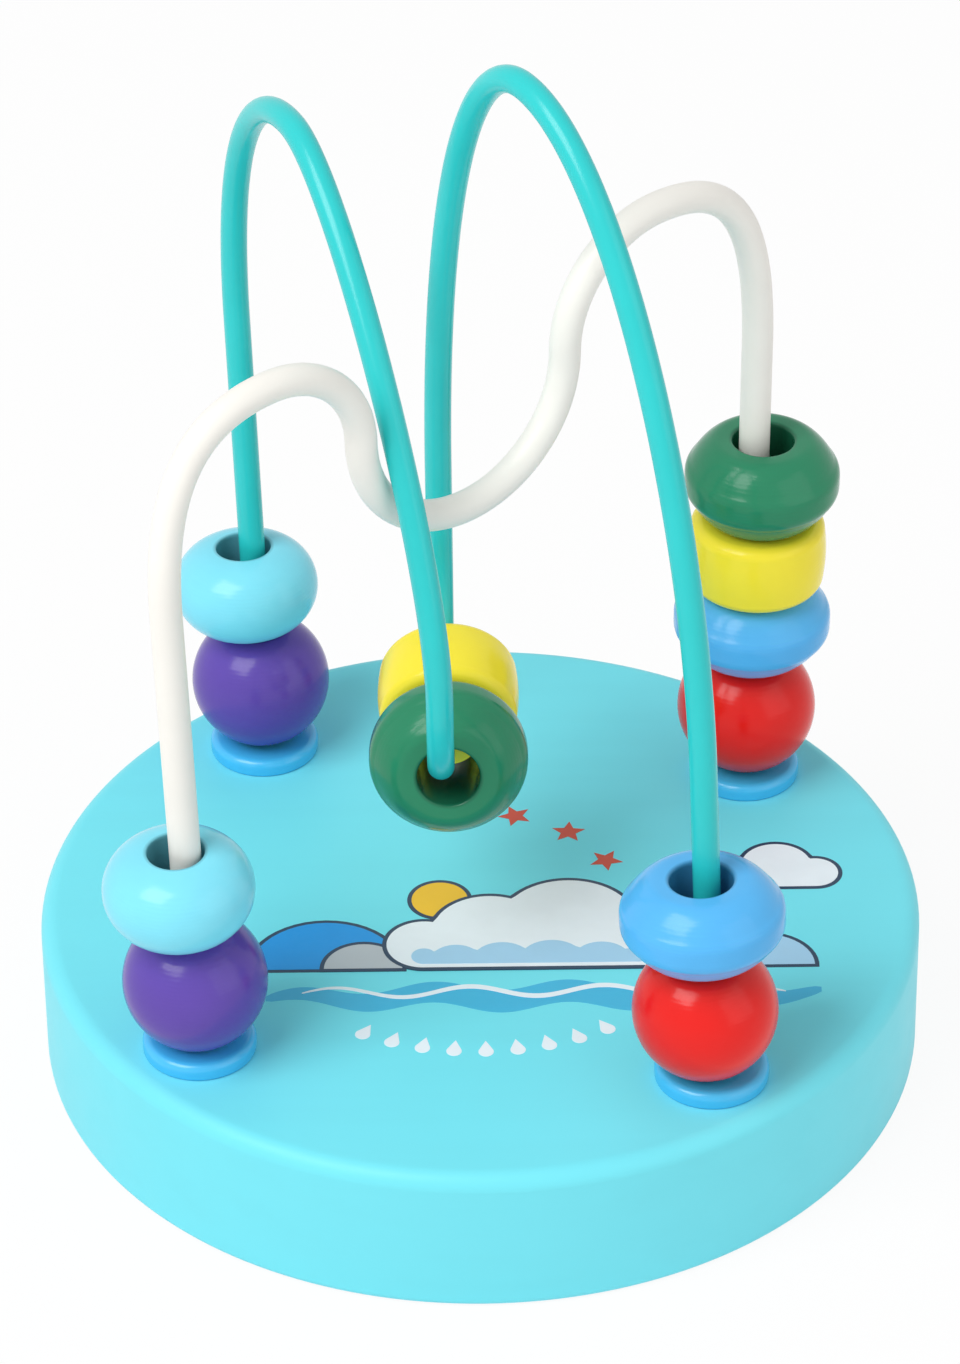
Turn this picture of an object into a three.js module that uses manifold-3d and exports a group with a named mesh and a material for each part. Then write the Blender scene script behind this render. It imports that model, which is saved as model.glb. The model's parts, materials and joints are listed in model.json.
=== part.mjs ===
// A mini bead maze: a round wooden base, two bent coated wires that cross over each other,
// the collars that hold the wire ends, and the wooden beads that slide along the wires.
// Millimetres, +Z up. The origin is the middle of the base's underside, and the front is -Y.
import * as THREE from "three";
import { mergeVertices } from "three/addons/utils/BufferGeometryUtils.js";
import Module from "manifold-3d";

const wasm = await Module();
wasm.setup();

const { degToRad, lerp } = THREE.MathUtils;

// Base board
const BASE_DIAMETER = 100;
const BASE_THICKNESS = 18;
const BASE_TOP_ROUND = 2;
const BASE_BOTTOM_ROUND = 1;
const HOLE_FLOOR = 4;

// Feet: the four wire ends stand on a square, turned a little and set a little to the front
const FOOT_INSET = 10;
const FOOT_SQUARE_TURN = degToRad(-6);
const FOOT_SQUARE_FORWARD = 1.2;

// Coated wires
const WHITE_WIRE_DIAMETER = 3.5;
const TEAL_WIRE_DIAMETER = 3;

// Collars pressed into the base around the wire ends
const COLLAR_DIAMETER = 12.6;
const COLLAR_THICKNESS = 2;
const COLLAR_ROUND = 0.9;
const COLLAR_WALL = 2;
const COLLAR_TIP_CHAMFER = 0.6;
const COLLAR_BORE_CLEARANCE = 0.2;
const COLLAR_HOLE_CLEARANCE = 0.2;
const HOLE_BOTTOM_ROOM = 2;

// Beads: how loosely they sit on the thicker wire, how far they slip aside on it, and the gap between them
const BEAD_PLAY = 1.7;
const RONDELLE_PLAY = 1.35;
const BEAD_SHIFT = 1;
const REST_GAP = 0.3;

const BALL_DIAMETER = 16;

const RONDELLE_DIAMETER = 16.7;
const RONDELLE_LENGTH = 10.3;
const RONDELLE_LIP = 0.2;

const BLUE_SAUCER_DIAMETER = 18;
const BLUE_SAUCER_LENGTH = 9.5;
const GREEN_SAUCER_DIAMETER = 17.6;
const GREEN_SAUCER_LENGTH = 10.2;
const SAUCER_FACE = 11;
const SAUCER_RIM = 3;
const SAUCER_RIM_ROUND = 0.9;
const SAUCER_BULGE = 0.5;

const BARREL_DIAMETER = 15.8;
const BARREL_LENGTH = 8.7;
const BARREL_ROUND = 1.4;
const BARREL_CROWN = 0.2;

// White wire: two humps with a dip between them, all in one upright plane
const WHITE_LEFT_SPLAY = degToRad(1.9);
const WHITE_RIGHT_SPLAY = degToRad(0.75);
const WHITE_SLIDE_ROOM = 12.2;
const WHITE_BEND_RISE = 10.9;
const WHITE_LEFT_CREST_RADIUS = 11.9;
const WHITE_RIGHT_CREST_RADIUS = 13;
const WHITE_DIP_RADIUS = 14.1;
const WHITE_DIP_LEFT = 1.4;
const WHITE_HUMP_FULLNESS = 0.71;

// Teal wire: a hump at the back left, a deep round dip, and a tall hump to the front right
const TEAL_LEFT_SPLAY = degToRad(4.1);
const TEAL_LEFT_SLIDE_ROOM = 30;
const TEAL_LEFT_HUMP_RISE = 34.8;
const TEAL_LEFT_CREST_INSET = 15;
const TEAL_DIP_RADIUS = 15.6;
const TEAL_DIP_HEIGHT = 24.5;
const TEAL_DIP_X = -4.1;
const TEAL_DIP_Y = -3;
const TEAL_RIGHT_RISE_START = 11.1;
const TEAL_RIGHT_CREST_INSET = 17.4;
const TEAL_RIGHT_HUMP_RISE = 68;
const TEAL_RIGHT_LEAN = degToRad(3.6);
const TEAL_RIGHT_SLIDE_ROOM = 12.7;
const TEAL_LEFT_RISE_FULLNESS = 0.63;
const TEAL_LEFT_FALL_FULLNESS = 0.34;
const TEAL_RIGHT_RISE_FULLNESS = 0.6;
const TEAL_RIGHT_FALL_FULLNESS = 0.48;

// The two beads that hang in the teal dip
const DIP_PAIR_FORWARD = degToRad(-5.2);
const DIP_SHIFT = 0.8;
const DIP_CLEARANCE = 0.35;

// Facets
const BASE_SIDES = 64;
const BEAD_SIDES = 22;
const COLLAR_SIDES = 20;
const WIRE_SIDES = 8;
const WIRE_STEP = 3;
const SMALL_ROUND_POINTS = 1;
const EDGE_POINTS = 2;
const BODY_POINTS = 5;

// Sizes that follow from the ones above
const footCircleRadius = BASE_DIAMETER / 2 - FOOT_INSET;
const whiteRadius = WHITE_WIRE_DIAMETER / 2;
const tealRadius = TEAL_WIRE_DIAMETER / 2;
const thickerRadius = Math.max(whiteRadius, tealRadius);
const boreRadius = thickerRadius + BEAD_PLAY;
const rondelleBoreRadius = thickerRadius + RONDELLE_PLAY;
const collarSpigotRadius = thickerRadius + COLLAR_BORE_CLEARANCE + COLLAR_WALL;
const holeRadius = collarSpigotRadius + COLLAR_HOLE_CLEARANCE;
const holeDepth = BASE_THICKNESS - HOLE_FLOOR;
const spigotLength = holeDepth - HOLE_BOTTOM_ROOM;
const ballLength = 2 * Math.sqrt((BALL_DIAMETER / 2) ** 2 - boreRadius ** 2);

const maze = new THREE.Group();

// Geometry helpers

function paint(colour, roughness = 0.35, metalness = 0) {
  return new THREE.MeshStandardMaterial({ color: colour, roughness, metalness });
}

function named(name, geometry, material) {
  const mesh = new THREE.Mesh(geometry, material);
  mesh.name = name;
  return mesh;
}

// Turns a closed profile of radius and height round the Z axis
function turned(path, sides, points) {
  const geometry = new THREE.LatheGeometry(path.getPoints(points), sides);
  return geometry.rotateX(Math.PI / 2);
}

function toManifold(geometry) {
  const bare = geometry.clone();
  bare.deleteAttribute("normal");
  bare.deleteAttribute("uv");
  const merged = mergeVertices(bare);
  const corners = merged.index.array;
  const triangles = [];
  for (let i = 0; i < corners.length; i += 3) {
    const [a, b, c] = corners.slice(i, i + 3);
    if (a !== b && b !== c && c !== a) triangles.push(a, b, c);
  }
  return new wasm.Manifold(new wasm.Mesh({
    numProp: 3,
    vertProperties: Float32Array.from(merged.attributes.position.array),
    triVerts: Uint32Array.from(triangles),
  }));
}

function fromManifold(solid) {
  const mesh = solid.getMesh();
  const geometry = new THREE.BufferGeometry();
  geometry.setAttribute("position", new THREE.BufferAttribute(mesh.vertProperties, mesh.numProp));
  geometry.setIndex(new THREE.BufferAttribute(mesh.triVerts, 1));
  geometry.computeVertexNormals();
  return geometry;
}

// Feet

const feetMiddle = new THREE.Vector2(0, -FOOT_SQUARE_FORWARD);

function footAt(quarterTurns) {
  const angle = FOOT_SQUARE_TURN + Math.PI / 4 + quarterTurns * Math.PI / 2;
  const foot = new THREE.Vector2(Math.cos(angle), Math.sin(angle)).multiplyScalar(footCircleRadius);
  return foot.add(feetMiddle);
}

const feet = {
  rear_right: footAt(0),
  rear_left: footAt(1),
  front_left: footAt(2),
  front_right: footAt(3),
};

// Base board with its four blind holes

function makeBase() {
  const radius = BASE_DIAMETER / 2;
  const outline = new THREE.Path();
  outline.moveTo(0, 0);
  outline.lineTo(radius - BASE_BOTTOM_ROUND, 0);
  outline.absarc(radius - BASE_BOTTOM_ROUND, BASE_BOTTOM_ROUND, BASE_BOTTOM_ROUND, -Math.PI / 2, 0);
  outline.absarc(radius - BASE_TOP_ROUND, BASE_THICKNESS - BASE_TOP_ROUND, BASE_TOP_ROUND, 0, Math.PI / 2);
  outline.lineTo(0, BASE_THICKNESS);
  let board = toManifold(turned(outline, BASE_SIDES, EDGE_POINTS));
  for (const foot of Object.values(feet)) {
    const drill = new THREE.CylinderGeometry(holeRadius, holeRadius, 2 * holeDepth, COLLAR_SIDES);
    drill.rotateX(Math.PI / 2).translate(foot.x, foot.y, BASE_THICKNESS);
    board = board.subtract(toManifold(drill));
  }
  return named("base_disc", fromManifold(board), paint(0x6fdce6));
}

// Collar: a thin round flange on the base, with a spigot in the hole and the wire in its bore

function collarOutline(wireRadius) {
  const outline = new THREE.Path();
  const flangeRadius = COLLAR_DIAMETER / 2;
  const bore = wireRadius + COLLAR_BORE_CLEARANCE;
  outline.moveTo(bore, -spigotLength);
  outline.lineTo(collarSpigotRadius - COLLAR_TIP_CHAMFER, -spigotLength);
  outline.lineTo(collarSpigotRadius, -spigotLength + COLLAR_TIP_CHAMFER);
  outline.lineTo(collarSpigotRadius, 0);
  outline.lineTo(flangeRadius, 0);
  outline.lineTo(flangeRadius, COLLAR_THICKNESS - COLLAR_ROUND);
  outline.absarc(flangeRadius - COLLAR_ROUND, COLLAR_THICKNESS - COLLAR_ROUND, COLLAR_ROUND, 0, Math.PI / 2);
  outline.lineTo(bore, COLLAR_THICKNESS);
  outline.lineTo(bore, -spigotLength);
  return outline;
}

function makeCollar(corner, wireRadius) {
  const solid = turned(collarOutline(wireRadius), COLLAR_SIDES, SMALL_ROUND_POINTS);
  const collar = named(`ferrule_${corner}`, solid, paint(0x35a8ea));
  collar.position.set(feet[corner].x, feet[corner].y, BASE_THICKNESS);
  return collar;
}

// Bead outlines: each starts at the lower end of the bore and closes on itself

function beadOutline(length, drawSide, bore = boreRadius) {
  const outline = new THREE.Path();
  outline.moveTo(bore, -length / 2);
  drawSide(outline, length / 2);
  outline.lineTo(bore, length / 2);
  outline.lineTo(bore, -length / 2);
  return outline;
}

function ballOutline() {
  const end = Math.asin(ballLength / BALL_DIAMETER);
  return beadOutline(ballLength, (outline) => {
    outline.absarc(0, 0, BALL_DIAMETER / 2, -end, end);
  });
}

function rondelleOutline() {
  const face = rondelleBoreRadius + RONDELLE_LIP;
  return beadOutline(RONDELLE_LENGTH, (outline, half) => {
    const bulge = RONDELLE_DIAMETER / 2 - face;
    outline.lineTo(face, -half);
    outline.absellipse(face, 0, bulge, half, -Math.PI / 2, Math.PI / 2);
  }, rondelleBoreRadius);
}

// A double cone, a little swollen, with a narrow upright rim whose corners are rounded
function saucerOutline(diameter, length) {
  const face = SAUCER_FACE / 2;
  const rim = new THREE.Vector2(diameter / 2, SAUCER_RIM / 2);
  return beadOutline(length, (outline, half) => {
    const slope = new THREE.Vector2(rim.x - face, rim.y - half).normalize();
    const edge = rim.clone().addScaledVector(slope, -SAUCER_RIM_ROUND);
    const swell = new THREE.Vector2(face + edge.x, half + edge.y).divideScalar(2);
    swell.add(new THREE.Vector2(-slope.y, slope.x).multiplyScalar(SAUCER_BULGE));
    const bandHeight = rim.y - SAUCER_RIM_ROUND;
    outline.lineTo(face, -half);
    outline.quadraticCurveTo(swell.x, -swell.y, edge.x, -edge.y);
    outline.quadraticCurveTo(rim.x, -rim.y, rim.x, -bandHeight);
    outline.lineTo(rim.x, bandHeight);
    outline.quadraticCurveTo(rim.x, rim.y, edge.x, edge.y);
    outline.quadraticCurveTo(swell.x, swell.y, face, half);
  });
}

function barrelOutline() {
  const radius = BARREL_DIAMETER / 2;
  const edge = radius - BARREL_CROWN;
  return beadOutline(BARREL_LENGTH, (outline, half) => {
    const shoulder = half - BARREL_ROUND;
    outline.lineTo(edge - BARREL_ROUND, -half);
    outline.absarc(edge - BARREL_ROUND, -shoulder, BARREL_ROUND, -Math.PI / 2, 0);
    outline.quadraticCurveTo(radius + BARREL_CROWN, 0, edge, shoulder);
    outline.absarc(edge - BARREL_ROUND, shoulder, BARREL_ROUND, 0, Math.PI / 2);
  });
}

// Kinds of bead: outline and its smoothness, length along the wire, width of the end face, colour
const BARREL_FACE = BARREL_DIAMETER - 2 * (BARREL_CROWN + BARREL_ROUND);
const beadKinds = {
  purple_ball: { outline: ballOutline(), points: BODY_POINTS, length: ballLength, colour: 0x6a4cae },
  red_ball: { outline: ballOutline(), points: BODY_POINTS, length: ballLength, colour: 0xe4312c },
  blue_rondelle: {
    outline: rondelleOutline(),
    points: BODY_POINTS,
    length: RONDELLE_LENGTH,
    colour: 0x80dcf0,
  },
  blue_saucer: {
    outline: saucerOutline(BLUE_SAUCER_DIAMETER, BLUE_SAUCER_LENGTH),
    points: EDGE_POINTS,
    length: BLUE_SAUCER_LENGTH,
    colour: 0x4fa8ee,
  },
  green_saucer: {
    outline: saucerOutline(GREEN_SAUCER_DIAMETER, GREEN_SAUCER_LENGTH),
    points: EDGE_POINTS,
    length: GREEN_SAUCER_LENGTH,
    face: SAUCER_FACE,
    colour: 0x2f8f66,
  },
  yellow_barrel: {
    outline: barrelOutline(),
    points: EDGE_POINTS,
    length: BARREL_LENGTH,
    face: BARREL_FACE,
    colour: 0xf7e23a,
  },
};

function makeBead(kind, place) {
  const { outline, points, colour } = beadKinds[kind];
  return named(`${kind}_${place}`, turned(outline, BEAD_SIDES, points), paint(colour, 0.25));
}

// Stacks of beads, from the collar up, the way that the loose beads slip, and the lowest one's share of it
const TO_RIGHT = 0;
const TO_LEFT = Math.PI;
const TO_FRONT_LEFT = degToRad(235);
const stacks = {
  front_left: { kinds: ["purple_ball", "blue_rondelle"], slip: TO_LEFT, lowest: 0 },
  rear_left: { kinds: ["purple_ball", "blue_rondelle"], slip: TO_LEFT, lowest: 0 },
  front_right: { kinds: ["red_ball", "blue_saucer"], slip: TO_FRONT_LEFT, lowest: 1 },
  rear_right: {
    kinds: ["red_ball", "blue_saucer", "yellow_barrel", "green_saucer"],
    slip: TO_RIGHT,
    lowest: 0,
  },
};

function stackHeight(corner) {
  const { kinds } = stacks[corner];
  return kinds.reduce((height, kind) => height + REST_GAP + beadKinds[kind].length, 0);
}

// Wire paths, drawn on upright planes: a distance along the plane and a height above the base

function uprightPlane(from, to) {
  const along = to.clone().sub(from).normalize();
  return (distance, height) => new THREE.Vector3(
    from.x + along.x * distance,
    from.y + along.y * distance,
    BASE_THICKNESS + height,
  );
}

class UprightArc extends THREE.Curve {
  constructor(plane, centre, radius, startAngle, endAngle) {
    super();
    Object.assign(this, { plane, centre, radius, startAngle, endAngle });
  }

  getPoint(t, target = new THREE.Vector3()) {
    const angle = lerp(this.startAngle, this.endAngle, t);
    const distance = this.centre.x + this.radius * Math.cos(angle);
    const height = this.centre.y + this.radius * Math.sin(angle);
    return target.copy(this.plane(distance, height));
  }
}

// One side of a hump, from its steep lower end up to the level crest
function humpSide(plane, low, crest, fullness, lean = 0) {
  const rise = fullness * (crest.y - low.y);
  const run = fullness * (crest.x - low.x);
  return new THREE.CubicBezierCurve3(
    plane(low.x, low.y),
    plane(low.x + lean * rise, low.y + rise),
    plane(crest.x - run, crest.y),
    plane(crest.x, crest.y),
  );
}

function reversed(side) {
  return new THREE.CubicBezierCurve3(side.v3, side.v2, side.v1, side.v0);
}

// A straight leg: upright in its collar, then leaning by a slope to its top
function legOn(plane, footDistance, slope, straight) {
  const collarTop = new THREE.Vector2(footDistance, COLLAR_THICKNESS);
  const top = new THREE.Vector2(footDistance + slope * straight, COLLAR_THICKNESS + straight);
  const end = plane(footDistance, -spigotLength);
  const foot = plane(collarTop.x, collarTop.y);
  const head = plane(top.x, top.y);
  return { top, slope, foot, head, end, direction: head.clone().sub(foot).normalize() };
}

function upLeg(leg) {
  return [new THREE.LineCurve3(leg.end, leg.foot), new THREE.LineCurve3(leg.foot, leg.head)];
}

function downLeg(leg) {
  return [new THREE.LineCurve3(leg.head, leg.foot), new THREE.LineCurve3(leg.foot, leg.end)];
}

function wirePath(curves) {
  const path = new THREE.CurvePath();
  path.curves.push(...curves);
  return path;
}

function makeWire(name, path, wireRadius, material) {
  const section = new THREE.Shape();
  section.absarc(0, 0, wireRadius, 0, 2 * Math.PI);
  const geometry = new THREE.ExtrudeGeometry(section, {
    curveSegments: WIRE_SIDES / 2,
    steps: Math.round(path.getLength() / WIRE_STEP),
    extrudePath: path,
  });
  return named(name, geometry, material);
}

// White wire

const whitePlane = uprightPlane(feetMiddle, feet.rear_right);
const whiteStraight = stackHeight("rear_right") + WHITE_SLIDE_ROOM;
const whiteLegs = {
  front_left: legOn(whitePlane, -footCircleRadius, -Math.tan(WHITE_LEFT_SPLAY), whiteStraight),
  rear_right: legOn(whitePlane, footCircleRadius, Math.tan(WHITE_RIGHT_SPLAY), whiteStraight),
};

function whitePath() {
  const { front_left: left, rear_right: right } = whiteLegs;
  const leftReach = WHITE_DIP_RADIUS + WHITE_LEFT_CREST_RADIUS;
  const rightReach = WHITE_DIP_RADIUS + WHITE_RIGHT_CREST_RADIUS;
  const dipBend = new THREE.Vector2(-WHITE_DIP_LEFT, right.top.y + WHITE_BEND_RISE);
  const leftBend = new THREE.Vector2(dipBend.x - leftReach, dipBend.y);
  const rightBend = new THREE.Vector2(dipBend.x + rightReach, dipBend.y);
  const leftCrest = new THREE.Vector2(leftBend.x, dipBend.y + WHITE_LEFT_CREST_RADIUS);
  const rightCrest = new THREE.Vector2(rightBend.x, dipBend.y + WHITE_RIGHT_CREST_RADIUS);
  return wirePath([
    ...upLeg(left),
    humpSide(whitePlane, left.top, leftCrest, WHITE_HUMP_FULLNESS, left.slope),
    new UprightArc(whitePlane, leftBend, WHITE_LEFT_CREST_RADIUS, Math.PI / 2, 0),
    new UprightArc(whitePlane, dipBend, WHITE_DIP_RADIUS, Math.PI, 2 * Math.PI),
    new UprightArc(whitePlane, rightBend, WHITE_RIGHT_CREST_RADIUS, Math.PI, Math.PI / 2),
    reversed(humpSide(whitePlane, right.top, rightCrest, WHITE_HUMP_FULLNESS, right.slope)),
    ...downLeg(right),
  ]);
}

// Teal wire

const dipFront = new THREE.Vector2(TEAL_DIP_X, TEAL_DIP_Y - TEAL_DIP_RADIUS);
const dipRear = new THREE.Vector2(TEAL_DIP_X, TEAL_DIP_Y + TEAL_DIP_RADIUS);
const dipCentre = new THREE.Vector2(TEAL_DIP_RADIUS, TEAL_DIP_HEIGHT + TEAL_DIP_RADIUS);
const leftPlane = uprightPlane(feet.rear_left, dipFront);
const dipPlane = uprightPlane(dipFront, dipRear);
const rightPlane = uprightPlane(dipRear, feet.front_right);
const rightSpan = dipRear.distanceTo(feet.front_right);
const leftStraight = stackHeight("rear_left") + TEAL_LEFT_SLIDE_ROOM;
const rightStraight = stackHeight("front_right") + TEAL_RIGHT_SLIDE_ROOM;
const tealLegs = {
  rear_left: legOn(leftPlane, 0, -Math.tan(TEAL_LEFT_SPLAY), leftStraight),
  front_right: legOn(rightPlane, rightSpan, -Math.tan(TEAL_RIGHT_LEAN), rightStraight),
};

function tealPath() {
  const { rear_left: left, front_right: right } = tealLegs;
  const leftCrest = new THREE.Vector2(TEAL_LEFT_CREST_INSET, left.top.y + TEAL_LEFT_HUMP_RISE);
  const rightCrest = new THREE.Vector2(TEAL_RIGHT_CREST_INSET, right.top.y + TEAL_RIGHT_HUMP_RISE);
  const frontSide = new THREE.Vector2(feet.rear_left.distanceTo(dipFront), dipCentre.y);
  const riseStart = new THREE.Vector2(0, dipCentre.y + TEAL_RIGHT_RISE_START);
  return wirePath([
    ...upLeg(left),
    humpSide(leftPlane, left.top, leftCrest, TEAL_LEFT_RISE_FULLNESS, left.slope),
    reversed(humpSide(leftPlane, frontSide, leftCrest, TEAL_LEFT_FALL_FULLNESS)),
    new UprightArc(dipPlane, dipCentre, TEAL_DIP_RADIUS, Math.PI, 2 * Math.PI),
    new THREE.LineCurve3(rightPlane(0, dipCentre.y), rightPlane(riseStart.x, riseStart.y)),
    humpSide(rightPlane, riseStart, rightCrest, TEAL_RIGHT_RISE_FULLNESS),
    reversed(humpSide(rightPlane, right.top, rightCrest, TEAL_RIGHT_FALL_FULLNESS, right.slope)),
    ...downLeg(right),
  ]);
}

// Beads on the legs: each stack rests on its collar and follows its leg's lean

function makeStack(corner, leg) {
  const { kinds, slip, lowest } = stacks[corner];
  const stack = new THREE.Group();
  stack.position.copy(leg.foot);
  stack.quaternion.setFromUnitVectors(new THREE.Vector3(0, 0, 1), leg.direction);
  let height = 0;
  kinds.forEach((kind, place) => {
    const { length } = beadKinds[kind];
    const bead = makeBead(kind, corner);
    const shift = BEAD_SHIFT * lerp(lowest, 1, place / (kinds.length - 1));
    bead.position.set(shift * Math.cos(slip), shift * Math.sin(slip), height + REST_GAP + length / 2);
    stack.add(bead);
    height += REST_GAP + length;
  });
  return stack;
}

// Beads in the dip: the pair hangs in balance, and each tips towards level as far as its bore lets it

function dipSeat(kind) {
  const half = beadKinds[kind].length / 2;
  const faceRadius = beadKinds[kind].face / 2;
  const sag = TEAL_DIP_RADIUS - Math.sqrt(TEAL_DIP_RADIUS ** 2 - half ** 2);
  const room = Math.sqrt((boreRadius - tealRadius) ** 2 - DIP_SHIFT ** 2);
  const tip = Math.asin((room - sag / 2 - DIP_CLEARANCE) / half);
  const radius = TEAL_DIP_RADIUS - sag / 2;
  // The bead's nearest rim keeps half a rest gap to the plane between the two beads
  let angle = 0;
  for (let round = 0; round < 30; round += 1) {
    const slope = angle - tip;
    const reach = half * Math.cos(slope) + faceRadius * Math.sin(slope) + REST_GAP / 2;
    angle = Math.asin(reach / radius);
  }
  return { angle, tip, radius };
}

function makeDipBead(kind, side) {
  const { angle, tip, radius } = dipSeat(kind);
  const swing = side * angle + DIP_PAIR_FORWARD;
  const bead = makeBead(kind, "dip");
  bead.position.set(
    TEAL_DIP_X + DIP_SHIFT,
    TEAL_DIP_Y - radius * Math.sin(swing),
    BASE_THICKNESS + dipCentre.y - radius * Math.cos(swing),
  );
  bead.rotation.x = Math.PI / 2 - (swing - side * tip);
  return bead;
}

// Assembly

maze.add(makeBase());
maze.add(makeWire("white_wire", whitePath(), whiteRadius, paint(0xf0ebe4)));
maze.add(makeWire("teal_wire", tealPath(), tealRadius, paint(0x3ad0cc)));
for (const corner of Object.keys(whiteLegs)) maze.add(makeCollar(corner, whiteRadius));
for (const corner of Object.keys(tealLegs)) maze.add(makeCollar(corner, tealRadius));
for (const [corner, leg] of Object.entries({ ...whiteLegs, ...tealLegs })) maze.add(makeStack(corner, leg));
maze.add(makeDipBead("green_saucer", 1));
maze.add(makeDipBead("yellow_barrel", -1));
maze.updateMatrixWorld(true);

export default maze;
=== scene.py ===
"""The looks of a mini bead maze: a painted base with a printed sky, coated wires, collars and beads."""
import json
import math

import bmesh
import bpy
import numpy as np
from mathutils import Matrix, Vector


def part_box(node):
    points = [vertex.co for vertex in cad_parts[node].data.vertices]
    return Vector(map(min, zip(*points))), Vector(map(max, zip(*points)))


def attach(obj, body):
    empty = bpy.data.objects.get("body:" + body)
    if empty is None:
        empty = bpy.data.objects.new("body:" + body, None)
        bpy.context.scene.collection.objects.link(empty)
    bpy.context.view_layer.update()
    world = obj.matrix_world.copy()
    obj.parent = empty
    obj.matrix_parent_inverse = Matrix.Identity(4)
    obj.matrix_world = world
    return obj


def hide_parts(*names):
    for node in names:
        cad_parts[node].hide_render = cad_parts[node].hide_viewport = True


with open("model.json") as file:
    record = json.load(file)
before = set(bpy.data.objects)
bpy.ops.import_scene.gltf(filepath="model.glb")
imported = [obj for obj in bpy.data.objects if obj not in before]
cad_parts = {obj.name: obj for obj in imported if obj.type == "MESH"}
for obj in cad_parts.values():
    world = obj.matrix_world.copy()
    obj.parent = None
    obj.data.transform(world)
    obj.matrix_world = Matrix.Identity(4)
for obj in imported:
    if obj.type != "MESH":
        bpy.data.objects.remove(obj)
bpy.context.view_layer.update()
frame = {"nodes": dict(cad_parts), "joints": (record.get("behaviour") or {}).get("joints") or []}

UP = Vector((0, 0, 1))
WHITE = (1, 1, 1, 1)

# Sizes are written in millimetres, and this takes them to metres
MM = 0.001

# Node trees: the spacing of their nodes, and the numbers of the Mix node's sockets for colours
NODE_SPACING = 200
MIX_FIRST, MIX_SECOND, MIX_RESULT = 6, 7, 2

# Base board
BASE_RADIUS = 50
BASE_THICKNESS = 18
BASE_TOP_ROUND = 2
BASE_BOTTOM_ROUND = 1
BASE_EDGE_BAND = 0.3
HOLE_DEPTH = 14
BASE_SIDES = 192

# Feet of the wires: a square, turned a little and set a little to the front
FOOT_CIRCLE_RADIUS = 40
FOOT_SQUARE_TURN = math.radians(-6)
FOOT_SQUARE_FORWARD = 1.2

# Wires and the collars that hold them
WHITE_WIRE_RADIUS = 1.75
TEAL_WIRE_RADIUS = 1.5
WIRE_SIDES = 28
WIRE_STEP = 0.7
COLLAR_RADIUS = 6.3
COLLAR_THICKNESS = 2
COLLAR_ROUND = 0.9
COLLAR_FOOT_ROUND = 0.3
COLLAR_BORE_CLEARANCE = 0.2
COLLAR_SPIGOT_RADIUS = 3.95
COLLAR_SPIGOT_LENGTH = 12
COLLAR_TIP_CHAMFER = 0.6
COLLAR_LIP = 0.35
HOLE_RADIUS = 4.15
COLLAR_SIDES = 72

# Beads
BORE_RADIUS = 3.45
BORE_EDGE = 0.5
BORE_WALL_MARGIN = 1.01
TURNING_PITCH = 0.42
REST_GAP = 0.3
BALL_RADIUS = 8
BALL_LENGTH = 2 * math.sqrt(BALL_RADIUS ** 2 - BORE_RADIUS ** 2)
RONDELLE_RADIUS = 8.35
RONDELLE_LENGTH = 10.3
RONDELLE_BORE_RADIUS = 3.1
RONDELLE_LIP = 0.2
BLUE_SAUCER_RADIUS = 9
BLUE_SAUCER_LENGTH = 9.5
GREEN_SAUCER_RADIUS = 8.8
GREEN_SAUCER_LENGTH = 10.2
SAUCER_FACE_RADIUS = 5.5
SAUCER_FACE_ROUND = 0.6
SAUCER_RIM = 3
SAUCER_RIM_ROUND = 0.9
SAUCER_BULGE = 0.5
BARREL_RADIUS = 7.9
BARREL_LENGTH = 8.7
BARREL_ROUND = 1.4
BARREL_CROWN = 0.2
BEAD_SIDES = 96

# White wire
WHITE_LEFT_SPLAY = math.radians(1.9)
WHITE_RIGHT_SPLAY = math.radians(0.75)
WHITE_SLIDE_ROOM = 12.2
WHITE_BEND_RISE = 10.9
WHITE_LEFT_CREST_RADIUS = 11.9
WHITE_RIGHT_CREST_RADIUS = 13
WHITE_DIP_RADIUS = 14.1
WHITE_DIP_LEFT = 1.4
WHITE_HUMP_FULLNESS = 0.71

# Teal wire
TEAL_LEFT_SPLAY = math.radians(4.1)
TEAL_LEFT_SLIDE_ROOM = 30
TEAL_LEFT_HUMP_RISE = 34.8
TEAL_LEFT_CREST_INSET = 15
TEAL_DIP_RADIUS = 15.6
TEAL_DIP_HEIGHT = 24.5
TEAL_DIP_X = -4.1
TEAL_DIP_Y = -3
TEAL_RIGHT_RISE_START = 11.1
TEAL_RIGHT_CREST_INSET = 17.4
TEAL_RIGHT_HUMP_RISE = 68
TEAL_RIGHT_LEAN = math.radians(3.6)
TEAL_RIGHT_SLIDE_ROOM = 12.7
TEAL_LEFT_RISE_FULLNESS = 0.63
TEAL_LEFT_FALL_FULLNESS = 0.34
TEAL_RIGHT_RISE_FULLNESS = 0.6
TEAL_RIGHT_FALL_FULLNESS = 0.48

# Steps along a profile's curve, its small corner and a wire's bend, and how near two points are one
CURVE_POINTS = 24
CORNER_POINTS = 6
PATH_POINTS = 60
SAME_POINT = 0.01
SEAM_WELD = 0.001

# Printed sky on the base: an ink layer's thickness, how deep it sinks, and the width of the dark lines
INK_LAYER = 0.03
INK_SINK = 0.02
LINE_WIDTH = 0.5

# Camera: where it stands in millimetres, how it looks down, and its lens
CAMERA_PLACE = Vector((0.27, -556.1, 443.15))
CAMERA_PITCH = math.radians(35.39)
CAMERA_ROLL = math.radians(-0.64)
PHOTO_HEIGHT_PIXELS = 1364
FOCAL_PIXELS = 6141.5
SENSOR_MM = 36

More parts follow.
